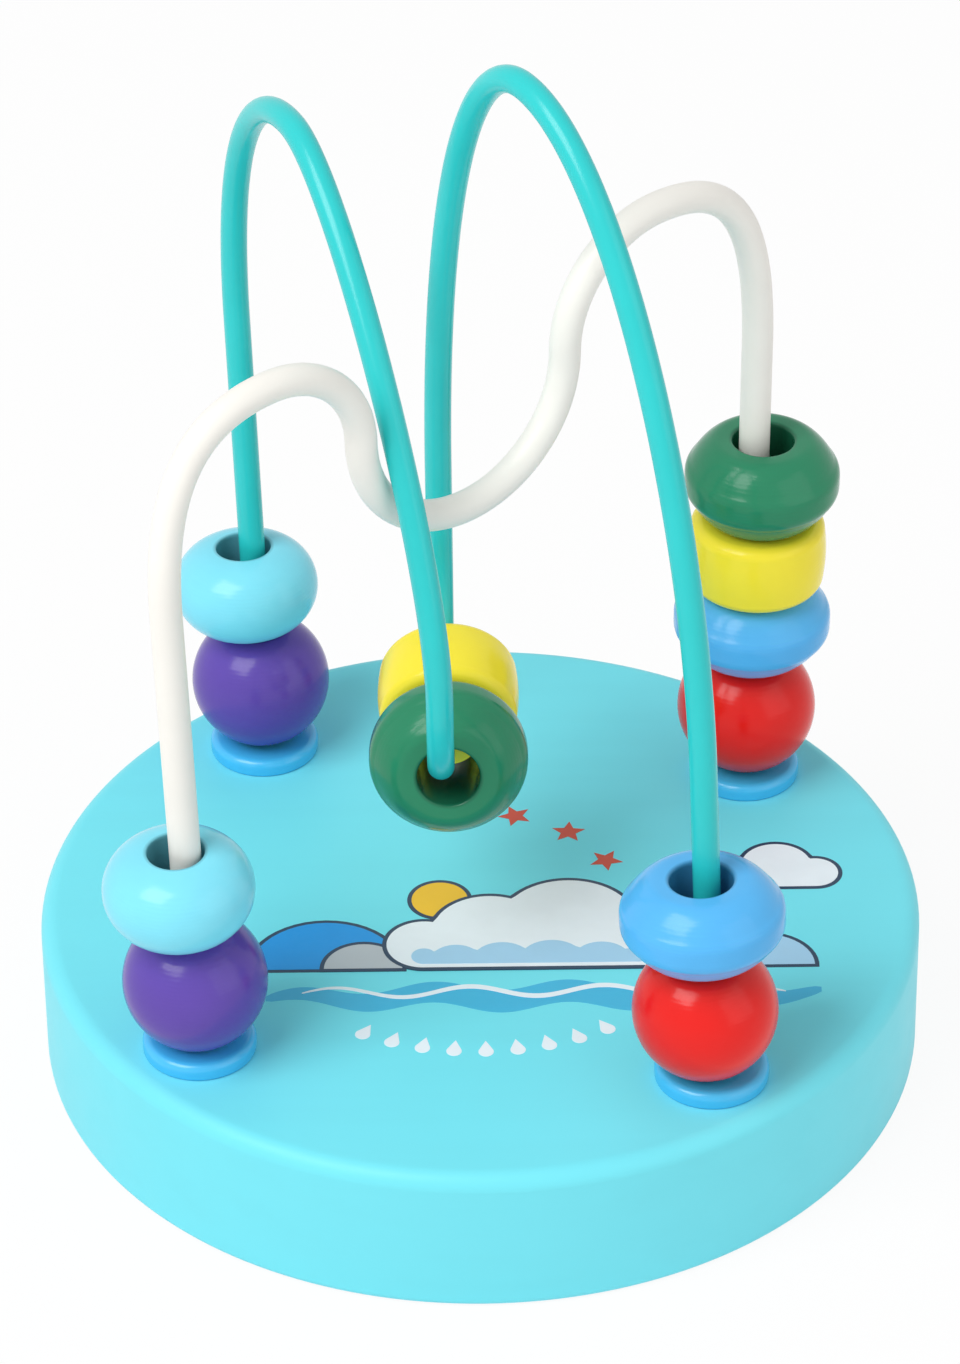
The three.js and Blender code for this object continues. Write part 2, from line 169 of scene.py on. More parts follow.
# Studio, in metres and watts: each lamp's place, the side of its square and its power
OBJECT_MIDDLE = (0, 0, 0.045)
KEY_SOFTBOX = {"place": (-0.5, -0.42, 0.86), "size": 0.62, "power": 7.5}
FILL_SOFTBOX = {"place": (0.75, -0.5, 0.45), "size": 0.8, "power": 1.6}
SKY_STRENGTH = 0.5
FLOOR_SIZE = 8
FLOOR_WHITE_SHARE = 0.92


# Colours

def colour(code):
    """A six-digit sRGB screen colour as linear red, green, blue and alpha."""
    parts = [int(code[i:i + 2], 16) / 255 for i in (0, 2, 4)]
    linear = [p / 12.92 if p <= 0.04045 else ((p + 0.055) / 1.055) ** 2.4 for p in parts]
    return (*linear, 1)


# Node helpers

def add_node(tree, kind, place=(0, 0), **settings):
    node = tree.nodes.new(kind)
    node.location = (place[0] * NODE_SPACING, place[1] * NODE_SPACING)
    for name, value in settings.items():
        setattr(node, name, value)
    return node


def joined(tree, source, target):
    tree.links.new(source, target)


def new_material(name):
    material = bpy.data.materials.new(name)
    material.use_nodes = True
    tree = material.node_tree
    return material, tree, tree.nodes["Principled BSDF"]


def mixed_colour(tree, factor, first, second, place):
    """A colour that goes from first to second as factor goes from 0 to 1."""
    mix = add_node(tree, "ShaderNodeMix", place, data_type="RGBA")
    joined(tree, factor, mix.inputs["Factor"])
    for socket, value in ((mix.inputs[MIX_FIRST], first), (mix.inputs[MIX_SECOND], second)):
        if isinstance(value, bpy.types.NodeSocket):
            joined(tree, value, socket)
        else:
            socket.default_value = value
    return mix.outputs[MIX_RESULT]


def noise(tree, vector, scale, detail, place):
    node = add_node(tree, "ShaderNodeTexNoise", place)
    node.inputs["Scale"].default_value = scale
    node.inputs["Detail"].default_value = detail
    joined(tree, vector, node.inputs["Vector"])
    return node.outputs["Fac"]


def ranged(tree, value, low, high, place, start=0.0, end=1.0):
    node = add_node(tree, "ShaderNodeMapRange", place)
    node.inputs["From Min"].default_value = start
    node.inputs["From Max"].default_value = end
    node.inputs["To Min"].default_value = low
    node.inputs["To Max"].default_value = high
    joined(tree, value, node.inputs["Value"])
    return node.outputs["Result"]


def bump(tree, height, distance, strength, place, normal=None):
    node = add_node(tree, "ShaderNodeBump", place)
    node.inputs["Distance"].default_value = distance
    node.inputs["Strength"].default_value = strength
    joined(tree, height, node.inputs["Height"])
    if normal is not None:
        joined(tree, normal, node.inputs["Normal"])
    return node.outputs["Normal"]


def shade_of(rgba, factor):
    return (*(channel * factor for channel in rgba[:3]), 1)


def painted_bead(name, code, bore=BORE_RADIUS, roughness=0.17):
    """Gloss paint on turned wood: brushed-on unevenness, faint turning rings, and shade painted into the
    bore.
    """
    material, tree, shader = new_material(name)
    paint = colour(code)
    coordinates = add_node(tree, "ShaderNodeTexCoord", (-6, 0)).outputs["Object"]
    cloudy = noise(tree, coordinates, scale=160, detail=3, place=(-5, 1))
    uneven = mixed_colour(tree, cloudy, shade_of(paint, 0.93), shade_of(paint, 1.05), (-3, 1))
    radius = add_node(tree, "ShaderNodeAttribute", (-6, -1), attribute_name="turn_radius").outputs["Fac"]
    bore_wall, bore_mouth = bore * BORE_WALL_MARGIN * MM, (bore + BORE_EDGE) * MM
    # Painted shade: inside the bore the colour darkens to half, fading in across the bore's softened mouth.
    painted_bore_shade = ranged(tree, radius, low=1, high=0, place=(-5, -1), start=bore_wall, end=bore_mouth)
    coat = mixed_colour(tree, painted_bore_shade, uneven, shade_of(paint, 0.5), (-2, 1))
    joined(tree, coat, shader.inputs["Base Color"])
    gloss = noise(tree, coordinates, scale=420, detail=4, place=(-5, -2))
    sheen = ranged(tree, gloss, low=roughness - 0.04, high=roughness + 0.07, place=(-3, -2))
    joined(tree, sheen, shader.inputs["Roughness"])
    height = add_node(tree, "ShaderNodeAttribute", (-6, -3), attribute_name="turn_height").outputs["Fac"]
    rings = add_node(tree, "ShaderNodeMath", (-5, -3), operation="MULTIPLY")
    joined(tree, height, rings.inputs[0])
    rings.inputs[1].default_value = 2 * math.pi / (TURNING_PITCH * MM)
    wave = add_node(tree, "ShaderNodeMath", (-4, -3), operation="SINE")
    joined(tree, rings.outputs[0], wave.inputs[0])
    ringed = bump(tree, wave.outputs[0], distance=0.004 * MM, strength=0.5, place=(-2, -3))
    peel = noise(tree, coordinates, scale=1500, detail=2, place=(-4, -4))
    relief = bump(tree, peel, distance=0.03 * MM, strength=0.3, place=(-1, -3), normal=ringed)
    joined(tree, relief, shader.inputs["Normal"])
    shader.inputs["Specular IOR Level"].default_value = 0.24
    return material


def painted_board(name, code):
    """Satin paint on a board: soft unevenness, faint grain that shows through and a fine peel."""
    material, tree, shader = new_material(name)
    paint = colour(code)
    coordinates = add_node(tree, "ShaderNodeTexCoord", (-6, 0)).outputs["Object"]
    cloudy = noise(tree, coordinates, scale=28, detail=3, place=(-5, 1))
    uneven = mixed_colour(tree, cloudy, shade_of(paint, 0.96), shade_of(paint, 1.03), (-3, 1))
    along = add_node(tree, "ShaderNodeMapping", (-5, 0))
    along.inputs["Scale"].default_value = (14, 260, 260)
    joined(tree, coordinates, along.inputs["Vector"])
    grain = noise(tree, along.outputs["Vector"], scale=1, detail=4, place=(-4, 0))
    streaks = ranged(tree, grain, low=0, high=0.18, place=(-3, 0), start=0.45, end=0.75)
    grained = mixed_colour(tree, streaks, uneven, shade_of(paint, 0.9), (-2, 1))
    joined(tree, grained, shader.inputs["Base Color"])
    gloss = noise(tree, coordinates, scale=240, detail=4, place=(-5, -2))
    joined(tree, ranged(tree, gloss, low=0.36, high=0.5, place=(-3, -2)), shader.inputs["Roughness"])
    fibres = bump(tree, grain, distance=0.03 * MM, strength=0.3, place=(-2, -2))
    peel = noise(tree, coordinates, scale=1100, detail=2, place=(-4, -3))
    relief = bump(tree, peel, distance=0.03 * MM, strength=0.35, place=(-1, -2), normal=fibres)
    joined(tree, relief, shader.inputs["Normal"])
    shader.inputs["Specular IOR Level"].default_value = 0.25
    return material


def coated_wire(name, code, roughness):
    """Plastic coating drawn over steel wire: lengthwise die lines and small changes of sheen."""
    material, tree, shader = new_material(name)
    coat = colour(code)
    coordinates = add_node(tree, "ShaderNodeTexCoord", (-6, 0)).outputs["Object"]
    cloudy = noise(tree, coordinates, scale=110, detail=3, place=(-5, 1))
    joined(tree, mixed_colour(tree, cloudy, shade_of(coat, 0.94), shade_of(coat, 1.04), (-3, 1)),
           shader.inputs["Base Color"])
    along = add_node(tree, "ShaderNodeAttribute", (-6, -1), attribute_name="along_wire").outputs["Fac"]
    around = add_node(tree, "ShaderNodeAttribute", (-6, -2), attribute_name="round_wire").outputs["Fac"]
    lines_place = add_node(tree, "ShaderNodeCombineXYZ", (-5, -1))
    joined(tree, ranged(tree, along, low=0, high=60, place=(-5, 0)), lines_place.inputs["X"])
    joined(tree, ranged(tree, around, low=0, high=14, place=(-5, -2)), lines_place.inputs["Y"])
    lines = noise(tree, lines_place.outputs["Vector"], scale=1, detail=3, place=(-4, -1))
    sheen = ranged(tree, lines, low=roughness - 0.03, high=roughness + 0.04, place=(-3, -1))
    joined(tree, sheen, shader.inputs["Roughness"])
    drawn = bump(tree, lines, distance=0.003 * MM, strength=0.1, place=(-2, -2))
    peel = noise(tree, coordinates, scale=1800, detail=2, place=(-4, -3))
    relief = bump(tree, peel, distance=0.02 * MM, strength=0.3, place=(-1, -2), normal=drawn)
    joined(tree, relief, shader.inputs["Normal"])
    shader.inputs["Specular IOR Level"].default_value = 0.35
    return material


def moulded_plastic(name, code):
    """Glossy moulded plastic with faint flow marks."""
    material, tree, shader = new_material(name)
    plastic = colour(code)
    coordinates = add_node(tree, "ShaderNodeTexCoord", (-6, 0)).outputs["Object"]
    flow = noise(tree, coordinates, scale=220, detail=3, place=(-5, 1))
    joined(tree, mixed_colour(tree, flow, shade_of(plastic, 0.94), shade_of(plastic, 1.05), (-3, 1)),
           shader.inputs["Base Color"])
    gloss = noise(tree, coordinates, scale=700, detail=3, place=(-5, -1))
    joined(tree, ranged(tree, gloss, low=0.16, high=0.28, place=(-3, -1)), shader.inputs["Roughness"])
    relief = bump(tree, flow, distance=0.03 * MM, strength=0.25, place=(-2, -2))
    joined(tree, relief, shader.inputs["Normal"])
    shader.inputs["Specular IOR Level"].default_value = 0.45
    return material


def printed_ink(name, code):
    """Screen-printed ink: a little uneven in cover, and duller than the paint under it."""
    material, tree, shader = new_material(name)
    ink = colour(code)
    coordinates = add_node(tree, "ShaderNodeTexCoord", (-6, 0)).outputs["Object"]
    cover = noise(tree, coordinates, scale=300, detail=4, place=(-5, 1))
    joined(tree, mixed_colour(tree, cover, shade_of(ink, 0.94), shade_of(ink, 1.04), (-3, 1)),
           shader.inputs["Base Color"])
    screen = noise(tree, coordinates, scale=1600, detail=2, place=(-5, -1))
    joined(tree, ranged(tree, screen, low=0.4, high=0.56, place=(-3, -1)), shader.inputs["Roughness"])
    relief = bump(tree, screen, distance=0.02 * MM, strength=0.3, place=(-2, -2))
    joined(tree, relief, shader.inputs["Normal"])
    return material


# Geometry Nodes trees

def new_tree(name, inputs):
    """A geometry tree with its named inputs, and its start and end nodes."""
    tree = bpy.data.node_groups.new(name, "GeometryNodeTree")
    tree.interface.new_socket("Geometry", in_out="INPUT", socket_type="NodeSocketGeometry")
    tree.interface.new_socket("Geometry", in_out="OUTPUT", socket_type="NodeSocketGeometry")
    for label, kind in inputs:
        tree.interface.new_socket(label, in_out="INPUT", socket_type=kind)
    start = add_node(tree, "NodeGroupInput", (-8, 0))
    end = add_node(tree, "NodeGroupOutput", (8, 0))
    return tree, start, end


def finish_tree(tree, geometry, start, end):
    realize = add_node(tree, "GeometryNodeRealizeInstances", (6, 0))
    paint = add_node(tree, "GeometryNodeSetMaterial", (7, 0))
    joined(tree, geometry, realize.inputs["Geometry"])
    joined(tree, realize.outputs["Geometry"], paint.inputs["Geometry"])
    joined(tree, start.outputs["Material"], paint.inputs["Material"])
    joined(tree, paint.outputs["Geometry"], end.inputs["Geometry"])


def math_node(tree, operation, first, second, place):
    node = add_node(tree, "ShaderNodeMath", place, operation=operation)
    for socket, value in zip(node.inputs, (first, second)):
        if isinstance(value, bpy.types.NodeSocket):
            joined(tree, value, socket)
        else:
            socket.default_value = value
    return node.outputs[0]


def stored(tree, geometry, label, value, place):
    node = add_node(tree, "GeometryNodeStoreNamedAttribute", place, data_type="FLOAT", domain="POINT")
    node.inputs["Name"].default_value = label
    joined(tree, geometry, node.inputs["Geometry"])
    joined(tree, value, node.inputs["Value"])
    return node.outputs["Geometry"]


def turning_tree():
    """Turns a profile of points (radius in X, height in Z) round the Z axis."""
    tree, start, end = new_tree("turned piece", [
        ("Sides", "NodeSocketInt"), ("Merge Distance", "NodeSocketFloat"),
        ("Material", "NodeSocketMaterial")])
    profile = start.outputs["Geometry"]
    count = add_node(tree, "GeometryNodeAttributeDomainSize", (-7, 2), component="MESH")
    joined(tree, profile, count.inputs["Geometry"])
    rows = math_node(tree, "ADD", start.outputs["Sides"], 1, (-7, -1))
    grid = add_node(tree, "GeometryNodeMeshGrid", (-5, 1))
    joined(tree, count.outputs["Point Count"], grid.inputs["Vertices X"])
    joined(tree, rows, grid.inputs["Vertices Y"])
    index = add_node(tree, "GeometryNodeInputIndex", (-7, -3)).outputs["Index"]
    rows_passed = math_node(tree, "DIVIDE", index, rows, (-6, -2))
    place_on_profile = math_node(tree, "FLOOR", rows_passed, 0, (-5, -2))
    side = math_node(tree, "MODULO", index, rows, (-6, -3))
    share = math_node(tree, "DIVIDE", side, start.outputs["Sides"], (-5, -3))
    angle = math_node(tree, "MULTIPLY", share, 2 * math.pi, (-4, -3))
    position = add_node(tree, "GeometryNodeInputPosition", (-5, 3)).outputs["Position"]
    point = add_node(tree, "GeometryNodeSampleIndex", (-4, 2), data_type="FLOAT_VECTOR", domain="POINT")
    joined(tree, profile, point.inputs["Geometry"])
    joined(tree, position, point.inputs["Value"])
    joined(tree, place_on_profile, point.inputs["Index"])
    parts = add_node(tree, "ShaderNodeSeparateXYZ", (-3, 2))
    joined(tree, point.outputs["Value"], parts.inputs["Vector"])
    cosine = math_node(tree, "COSINE", angle, 0, (-3, -2))
    sine = math_node(tree, "SINE", angle, 0, (-3, -3))
    across = math_node(tree, "MULTIPLY", parts.outputs["X"], cosine, (-2, 0))
    deep = math_node(tree, "MULTIPLY", parts.outputs["X"], sine, (-2, -1))
    spun = add_node(tree, "ShaderNodeCombineXYZ", (-1, 0))
    joined(tree, across, spun.inputs["X"])
    joined(tree, deep, spun.inputs["Y"])
    joined(tree, parts.outputs["Z"], spun.inputs["Z"])
    radius_kept = stored(tree, grid.outputs["Mesh"], "turn_radius", parts.outputs["X"], (0, 2))
    height_kept = stored(tree, radius_kept, "turn_height", parts.outputs["Z"], (1, 2))
    moved = add_node(tree, "GeometryNodeSetPosition", (2, 1))
    joined(tree, height_kept, moved.inputs["Geometry"])
    joined(tree, spun.outputs["Vector"], moved.inputs["Position"])
    merged = add_node(tree, "GeometryNodeMergeByDistance", (4, 1))
    joined(tree, moved.outputs["Geometry"], merged.inputs["Geometry"])
    joined(tree, start.outputs["Merge Distance"], merged.inputs["Distance"])
    finish_tree(tree, merged.outputs["Geometry"], start, end)
    return tree


def wire_tree():
    """Sweeps a round section along a path of points."""
    tree, start, end = new_tree("coated wire", [
        ("Radius", "NodeSocketFloat"), ("Sides", "NodeSocketInt"), ("Step", "NodeSocketFloat"),
        ("Material", "NodeSocketMaterial")])
    path = add_node(tree, "GeometryNodeMeshToCurve", (-6, 0))
    joined(tree, start.outputs["Geometry"], path.inputs["Mesh"])
    evened = add_node(tree, "GeometryNodeResampleCurve", (-5, 0), mode="LENGTH")
    joined(tree, path.outputs["Curve"], evened.inputs["Curve"])
    joined(tree, start.outputs["Step"], evened.inputs["Length"])
    travelled = add_node(tree, "GeometryNodeSplineParameter", (-5, 2)).outputs["Factor"]
    measured = stored(tree, evened.outputs["Curve"], "along_wire", travelled, (-3, 0))
    section = add_node(tree, "GeometryNodeCurvePrimitiveCircle", (-5, -2), mode="RADIUS")
    joined(tree, start.outputs["Sides"], section.inputs["Resolution"])
    joined(tree, start.outputs["Radius"], section.inputs["Radius"])
    turn = add_node(tree, "GeometryNodeSplineParameter", (-5, -3)).outputs["Factor"]
    marked = stored(tree, section.outputs["Curve"], "round_wire", turn, (-3, -2))
    swept = add_node(tree, "GeometryNodeCurveToMesh", (-1, 0))
    joined(tree, measured, swept.inputs["Curve"])
    joined(tree, marked, swept.inputs["Profile Curve"])
    swept.inputs["Fill Caps"].default_value = True
    finish_tree(tree, swept.outputs["Mesh"], start, end)
    return tree


def printing_tree():
    """Repeats a printed motif on points along an arc round the middle of the base, turned with the arc."""
    tree, start, end = new_tree("printed row", [
        ("Count", "NodeSocketInt"), ("Arc Radius", "NodeSocketFloat"), ("Arc Start", "NodeSocketFloat"),
        ("Arc Sweep", "NodeSocketFloat"), ("Height", "NodeSocketFloat"),
        ("Material", "NodeSocketMaterial")])
    line = add_node(tree, "GeometryNodeCurveArc", (-6, 2), mode="RADIUS")
    joined(tree, start.outputs["Count"], line.inputs["Resolution"])
    joined(tree, start.outputs["Arc Radius"], line.inputs["Radius"])
    joined(tree, start.outputs["Arc Start"], line.inputs["Start Angle"])
    joined(tree, start.outputs["Arc Sweep"], line.inputs["Sweep Angle"])
    points = add_node(tree, "GeometryNodeCurveToPoints", (-4, 2), mode="EVALUATED")
    joined(tree, line.outputs["Curve"], points.inputs["Curve"])
    place = add_node(tree, "GeometryNodeInputPosition", (-6, -1)).outputs["Position"]
    parts = add_node(tree, "ShaderNodeSeparateXYZ", (-5, -1))
    joined(tree, place, parts.inputs["Vector"])
    heading = math_node(tree, "ARCTAN2", parts.outputs["Y"], parts.outputs["X"], (-4, -1))
    upright = math_node(tree, "ADD", heading, math.pi / 2, (-3, -1))
    turn = add_node(tree, "ShaderNodeCombineXYZ", (-2, -1))
    joined(tree, upright, turn.inputs["Z"])
    copies = add_node(tree, "GeometryNodeInstanceOnPoints", (-1, 1))
    joined(tree, points.outputs["Points"], copies.inputs["Points"])
    joined(tree, start.outputs["Geometry"], copies.inputs["Instance"])
    joined(tree, turn.outputs["Vector"], copies.inputs["Rotation"])
    lift = add_node(tree, "ShaderNodeCombineXYZ", (0, -1))
    joined(tree, start.outputs["Height"], lift.inputs["Z"])
    raised = add_node(tree, "GeometryNodeTransform", (2, 1))
    joined(tree, copies.outputs["Instances"], raised.inputs["Geometry"])
    joined(tree, lift.outputs["Vector"], raised.inputs["Translation"])
    finish_tree(tree, raised.outputs["Geometry"], start, end)
    return tree


def grown(name, source, tree, settings):
    """A new object whose mesh is what the tree makes of the source mesh."""
    piece = bpy.data.objects.new(name, source)
    bpy.context.scene.collection.objects.link(piece)
    modifier = piece.modifiers.new(tree.name, "NODES")
    modifier.node_group = tree
    for socket in tree.interface.items_tree:
        if socket.in_out == "INPUT" and socket.name in settings:
            modifier[socket.identifier] = settings[socket.name]
    bpy.context.view_layer.update()
    evaluated = piece.evaluated_get(bpy.context.evaluated_depsgraph_get())
    mesh = bpy.data.meshes.new_from_object(evaluated)
    piece.modifiers.remove(modifier)
    piece.data = mesh
    mesh.name = name
    return piece


# Mesh helpers

def tidied(piece, sharp_angle=40):
    """Faces out, smooth shading that stops at real edges."""
    mesh = piece.data
    shape = bmesh.new()
    shape.from_mesh(mesh)
    bmesh.ops.recalc_face_normals(shape, faces=shape.faces)
    shape.to_mesh(mesh)
    shape.free()
    mesh.shade_smooth()
    mesh.set_sharp_from_angle(angle=math.radians(sharp_angle))
    return piece


def points_mesh(name, points):
    """A mesh of points in millimetres, joined by edges in their order."""
    mesh = bpy.data.meshes.new(name)
    edges = [(i, i + 1) for i in range(len(points) - 1)]
    mesh.from_pydata([Vector(p) * MM for p in points], edges, [])
    return mesh


def arc(centre, radii, start, end, count=CURVE_POINTS):
    """Points of radius and height along part of an ellipse, angles in degrees."""
    angles = [math.radians(start + (end - start) * i / count) for i in range(count + 1)]
    return [(centre[0] + radii[0] * math.cos(a), centre[1] + radii[1] * math.sin(a)) for a in angles]


def bend(first, control, last, count=CURVE_POINTS):
    """Points along a curve from first to last that leaves and arrives in line with control."""
    points = []
    for i in range(count + 1):
        t = i / count
        weights = ((1 - t) ** 2, 2 * t * (1 - t), t ** 2)
        points.append(tuple(sum(w * p[k] for w, p in zip(weights, (first, control, last))) for k in (0, 1)))
    return points


def towards(point, other, distance):
    """The point that lies distance from point in the direction of other."""
    length = math.dist(point, other)
    return tuple(p + (o - p) * distance / length for p, o in zip(point, other))


def softened(before, corner, after, size):
    return bend(towards(corner, before, size), corner, towards(corner, after, size), CORNER_POINTS)


TURNED = turning_tree()
SWEPT = wire_tree()
PRINTED = printing_tree()


def turned(name, profile, sides, material, place=Matrix.Identity(4)):
    """A turned piece from a closed profile of radius and height, moved to its place."""
    ring = [(radius, 0, height) for radius, height in [*profile, profile[0]]]
    piece = grown(name, points_mesh(name, ring), TURNED, {
        "Sides": sides, "Merge Distance": SEAM_WELD * MM, "Material": material})
    piece.data.transform(place)
    return tidied(piece)


# Bead profiles: the upper half of the outside is mirrored downwards, and the bore closes the ring

def bead_profile(outside):
    """The full ring from the upper half of a bead's outside, which runs from the rim to the bore."""
    lower = [(radius, -height) for radius, height in reversed(outside)]
    return [*lower, *outside[1:]]


def ball_half():
    end = math.acos(BORE_RADIUS / BALL_RADIUS)
    corner = (BORE_RADIUS, BALL_RADIUS * math.sin(end))
    last = math.degrees(end) - math.degrees(BORE_EDGE / BALL_RADIUS)
    side = arc((0, 0), (BALL_RADIUS, BALL_RADIUS), 0, last, 2 * CURVE_POINTS)
    return [*side, *softened(side[-1], corner, (BORE_RADIUS, 0), BORE_EDGE)]


def rondelle_half():
    half = RONDELLE_LENGTH / 2
    bore = RONDELLE_BORE_RADIUS
    face = bore + RONDELLE_LIP
    side = arc((face, 0), (RONDELLE_RADIUS - face, half), 0, 90, 2 * CURVE_POINTS)
    return [*side, *bend((face, half), (bore, half), (bore, half - BORE_EDGE), CORNER_POINTS)[1:]]


def saucer_half(radius, length):
    """Half of a double cone, a little swollen, with a narrow upright rim whose corner is rounded."""
    half = length / 2
    face, rim = Vector((SAUCER_FACE_RADIUS, half)), Vector((radius, SAUCER_RIM / 2))
    slope = (rim - face).normalized()
    edge = rim - slope * SAUCER_RIM_ROUND
    swell = (face + edge) / 2 + Vector((-slope.y, slope.x)) * SAUCER_BULGE
    corner = bend((radius, rim.y - SAUCER_RIM_ROUND), rim, edge, CORNER_POINTS)
    cone = bend(edge, swell, towards(face, swell, SAUCER_FACE_ROUND))
    shoulder = bend(cone[-1], face, towards(face, (BORE_RADIUS, half), SAUCER_FACE_ROUND), CORNER_POINTS)
    mouth = softened(face, (BORE_RADIUS, half), (BORE_RADIUS, 0), BORE_EDGE)
    return [(radius, 0), *corner, *cone[1:], *shoulder[1:], *mouth]


def barrel_half():
    half = BARREL_LENGTH / 2
    edge = BARREL_RADIUS - BARREL_CROWN
    shoulder = half - BARREL_ROUND
    side = bend((BARREL_RADIUS, 0), (BARREL_RADIUS, shoulder / 2), (edge, shoulder), CORNER_POINTS)
    corner = arc((edge - BARREL_ROUND, shoulder), (BARREL_ROUND, BARREL_ROUND), 0, 90)
    mouth = softened((edge - BARREL_ROUND, half), (BORE_RADIUS, half), (BORE_RADIUS, 0), BORE_EDGE)
    return [*side, *corner[1:], *mouth]


BEAD_PROFILES = {
    "purple_ball": bead_profile(ball_half()),
    "red_ball": bead_profile(ball_half()),
    "blue_rondelle": bead_profile(rondelle_half()),
    "blue_saucer": bead_profile(saucer_half(BLUE_SAUCER_RADIUS, BLUE_SAUCER_LENGTH)),
    "green_saucer": bead_profile(saucer_half(GREEN_SAUCER_RADIUS, GREEN_SAUCER_LENGTH)),
    "yellow_barrel": bead_profile(barrel_half()),
}
BEAD_PAINTS = {
    "purple_ball": ("purple_paint", painted_bead("purple paint", "6249A8")),
    "red_ball": ("red_paint", painted_bead("red paint", "EA201B")),
    "blue_rondelle": ("light_blue_paint", painted_bead("light blue paint", "82E0F4", RONDELLE_BORE_RADIUS)),
    "blue_saucer": ("blue_paint", painted_bead("blue paint", "58B6F2")),
    "green_saucer": ("green_paint", painted_bead("green paint", "2A8862")),
    "yellow_barrel": ("yellow_paint", painted_bead("yellow paint", "FFEA3C")),
}


def turning_axis(node):
    """The axis that a bead is turned about: the odd one out of its mesh's three main directions."""
    corners = np.array([v.co for v in frame["nodes"][node].data.vertices])
    spread, directions = np.linalg.eigh(np.cov((corners - corners.mean(0)).T))
    odd = 0 if spread[1] - spread[0] > spread[2] - spread[1] else 2
    return Vector(directions[:, odd])


def bead_place(node):
    """A bead's middle from the frame, and its axis from its slide or, in the dip, from its shape."""
    low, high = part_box(node)
    slides = [joint for joint in frame["joints"] if joint["child"] == node and joint["type"] == "slide"]
    axis = Vector(slides[0]["axis"]) if slides else turning_axis(node)
    return Matrix.Translation((low + high) / 2) @ UP.rotation_difference(axis).to_matrix().to_4x4()


def make_bead(node):
    kind = next(kind for kind in BEAD_PROFILES if node.startswith(kind))
    slot, paint = BEAD_PAINTS[kind]
    bead = turned(f"turned_{node}", BEAD_PROFILES[kind], BEAD_SIDES, paint, bead_place(node))
    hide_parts(node)
    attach(bead, node)


# Base board

def foot_at(quarter_turns):
    angle = FOOT_SQUARE_TURN + math.pi / 4 + quarter_turns * math.pi / 2
    direction = Vector((math.cos(angle), math.sin(angle)))
    return direction * FOOT_CIRCLE_RADIUS - Vector((0, FOOT_SQUARE_FORWARD))


FEET = {
    "rear_right": foot_at(0),
    "rear_left": foot_at(1),
    "front_left": foot_at(2),
    "front_right": foot_at(3),
}
FOOT_WIRES = {
    "rear_right": WHITE_WIRE_RADIUS,
    "rear_left": TEAL_WIRE_RADIUS,
    "front_left": WHITE_WIRE_RADIUS,
    "front_right": TEAL_WIRE_RADIUS,
}


def base_profile():
    top, low = BASE_TOP_ROUND, BASE_BOTTOM_ROUND
    lower = arc((BASE_RADIUS - low, low), (low, low), -90, 0, CORNER_POINTS)
    upper = arc((BASE_RADIUS - top, BASE_THICKNESS - top), (top, top), 0, 90)
    inner_low = (BASE_RADIUS - low - BASE_EDGE_BAND, 0)
    inner_top = (BASE_RADIUS - top - BASE_EDGE_BAND, BASE_THICKNESS)
    return [(0, 0), inner_low, *lower, *upper, inner_top, (0, BASE_THICKNESS)]


def drill(foot):
    """A peg that cuts one blind hole into the board."""
    profile = [(0, BASE_THICKNESS - HOLE_DEPTH), (HOLE_RADIUS, BASE_THICKNESS - HOLE_DEPTH),
               (HOLE_RADIUS, BASE_THICKNESS + HOLE_DEPTH), (0, BASE_THICKNESS + HOLE_DEPTH)]
    place = Matrix.Translation(Vector((foot.x, foot.y, 0)) * MM)
    return turned("drill", profile, COLLAR_SIDES, None, place)


def applied(piece):
    """The piece with its modifiers made part of its mesh."""
    bpy.context.view_layer.update()
    evaluated = piece.evaluated_get(bpy.context.evaluated_depsgraph_get())
    mesh = bpy.data.meshes.new_from_object(evaluated)
    piece.modifiers.clear()
    piece.data = mesh
    return piece


def make_base():
    paint = painted_board("turquoise paint", "77E4F1")
    board = turned("painted_base", base_profile(), BASE_SIDES, paint)
    drills = [drill(foot) for foot in FEET.values()]
    for peg in drills:
        cut = board.modifiers.new("hole", "BOOLEAN")
        cut.operation = "DIFFERENCE"
        cut.object = peg
    applied(board)
    for peg in drills:
        bpy.data.objects.remove(peg)
    tidied(board)
    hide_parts("base_disc")
    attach(board, "frame")


# Collars

def collar_profile(wire_radius):
    """A flange with rounded edges on a spigot with a chamfered tip, and a bore that fits the wire."""
    flange, thick, tip = COLLAR_RADIUS, COLLAR_THICKNESS, -COLLAR_SPIGOT_LENGTH
    bore, spigot = wire_radius + COLLAR_BORE_CLEARANCE, COLLAR_SPIGOT_RADIUS
    top, low = COLLAR_ROUND, COLLAR_FOOT_ROUND
    rim = arc((flange - top, thick - top), (top, top), 0, 90, CORNER_POINTS)
    foot = arc((flange - low, low), (low, low), -90, 0, CORNER_POINTS)
    lip = softened((flange, thick), (bore, thick), (bore, 0), COLLAR_LIP)
    chamfer = [(spigot - COLLAR_TIP_CHAMFER, tip), (spigot, tip + COLLAR_TIP_CHAMFER)]
    return [(bore, tip), *chamfer, (spigot, 0), *foot, *rim, *lip]


def make_collars():
    plastic = moulded_plastic("blue collar plastic", "48C0F4")
    for corner, foot in FEET.items():
        place = Matrix.Translation(Vector((foot.x, foot.y, BASE_THICKNESS)) * MM)
        profile = collar_profile(FOOT_WIRES[corner])
        collar = turned(f"collar_{corner}", profile, COLLAR_SIDES, plastic, place)
        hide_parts(f"ferrule_{corner}")
        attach(collar, "frame")


# Wire paths, drawn on upright planes: a distance along the plane and a height above the base

def upright_plane(start, end):
    along = (end - start).normalized()

    def at(distance, height):
        spot = start + along * distance
        return Vector((spot.x, spot.y, BASE_THICKNESS + height))
    return at


